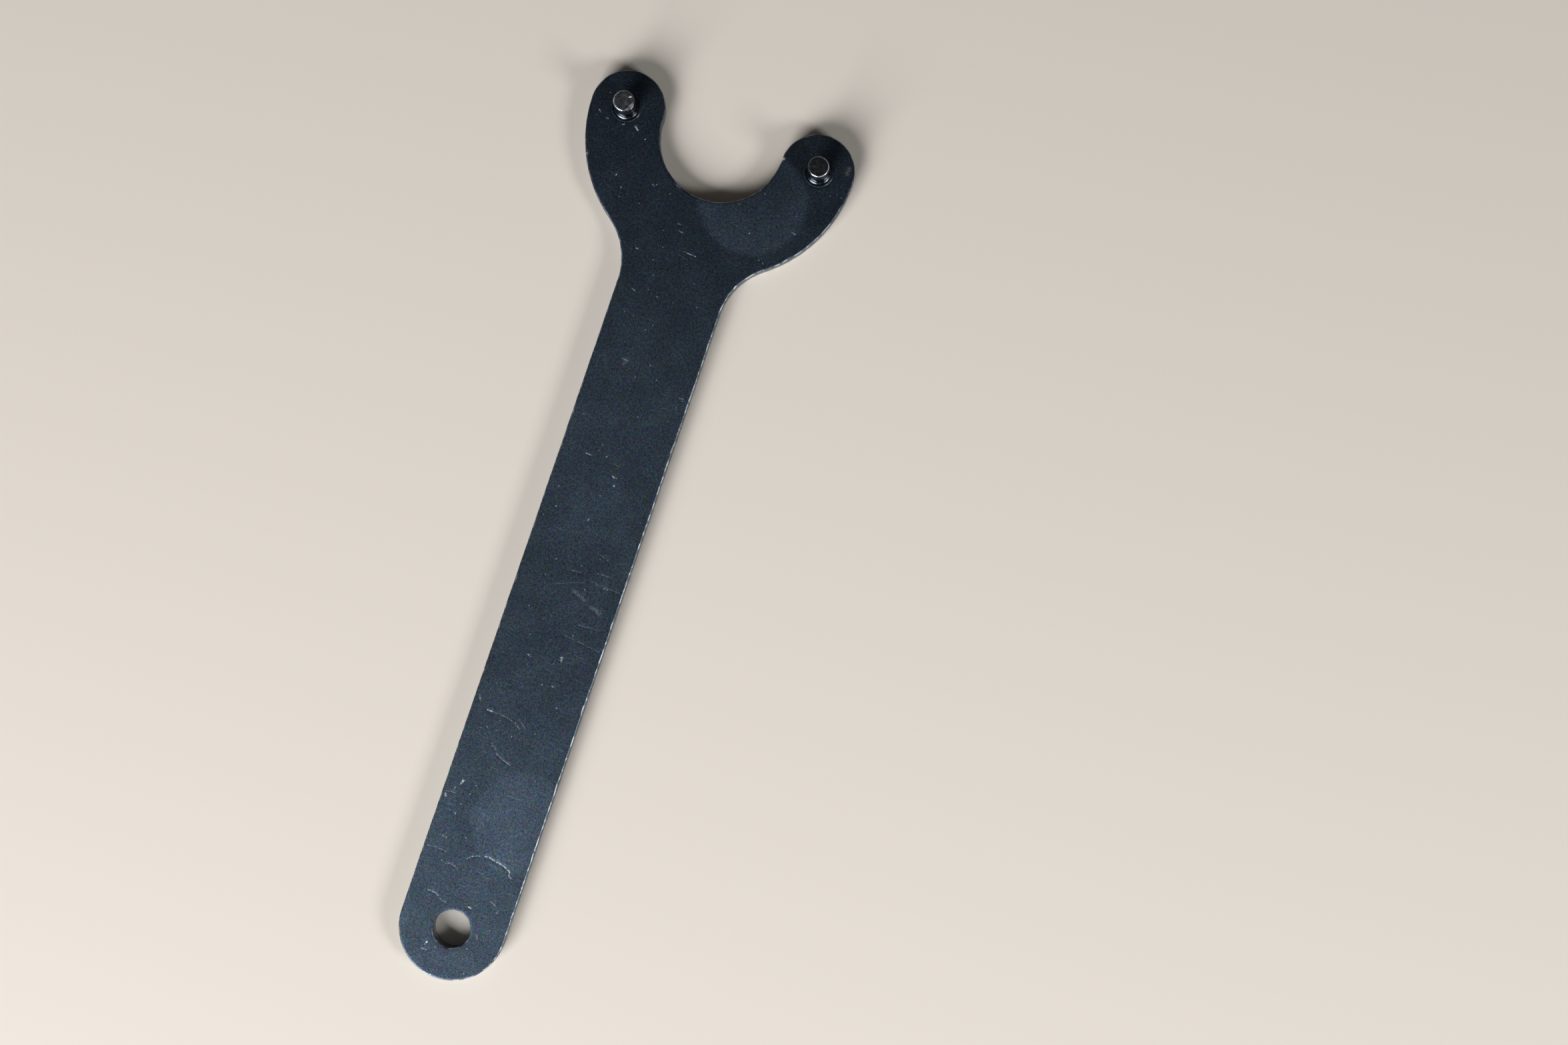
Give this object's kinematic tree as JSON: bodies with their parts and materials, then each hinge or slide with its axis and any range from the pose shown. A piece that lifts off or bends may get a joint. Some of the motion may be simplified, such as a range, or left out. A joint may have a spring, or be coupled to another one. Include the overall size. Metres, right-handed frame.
{
  "type": "two-pin face spanner",
  "caption": "Flat steel face spanner: a fork head with a round pin on each arm, a straight handle and a round end with a hanging hole. It turns round nuts that have face holes.",
  "frame": {"origin": "midway between the two pins, on the working face of the plate that the pins stand out of", "axes": "+Z is the way the pins point, +X runs from the left pin to the right pin, and the handle runs along -Y"},
  "size_m": [0.0474, 0.1591, 0.0082],
  "materials": {
    "blackened_steel": "black-oxide sheet steel, satin blue-black with a fine grain, worn bright along its edges",
    "pin_steel": "dark hardened steel, rubbed bright around the tip and on the side"
  },
  "bodies": {
    "root": {"spanner_plate": "blackened_steel", "left_pin": "pin_steel", "right_pin": "pin_steel"}
  },
  "joints": []
}
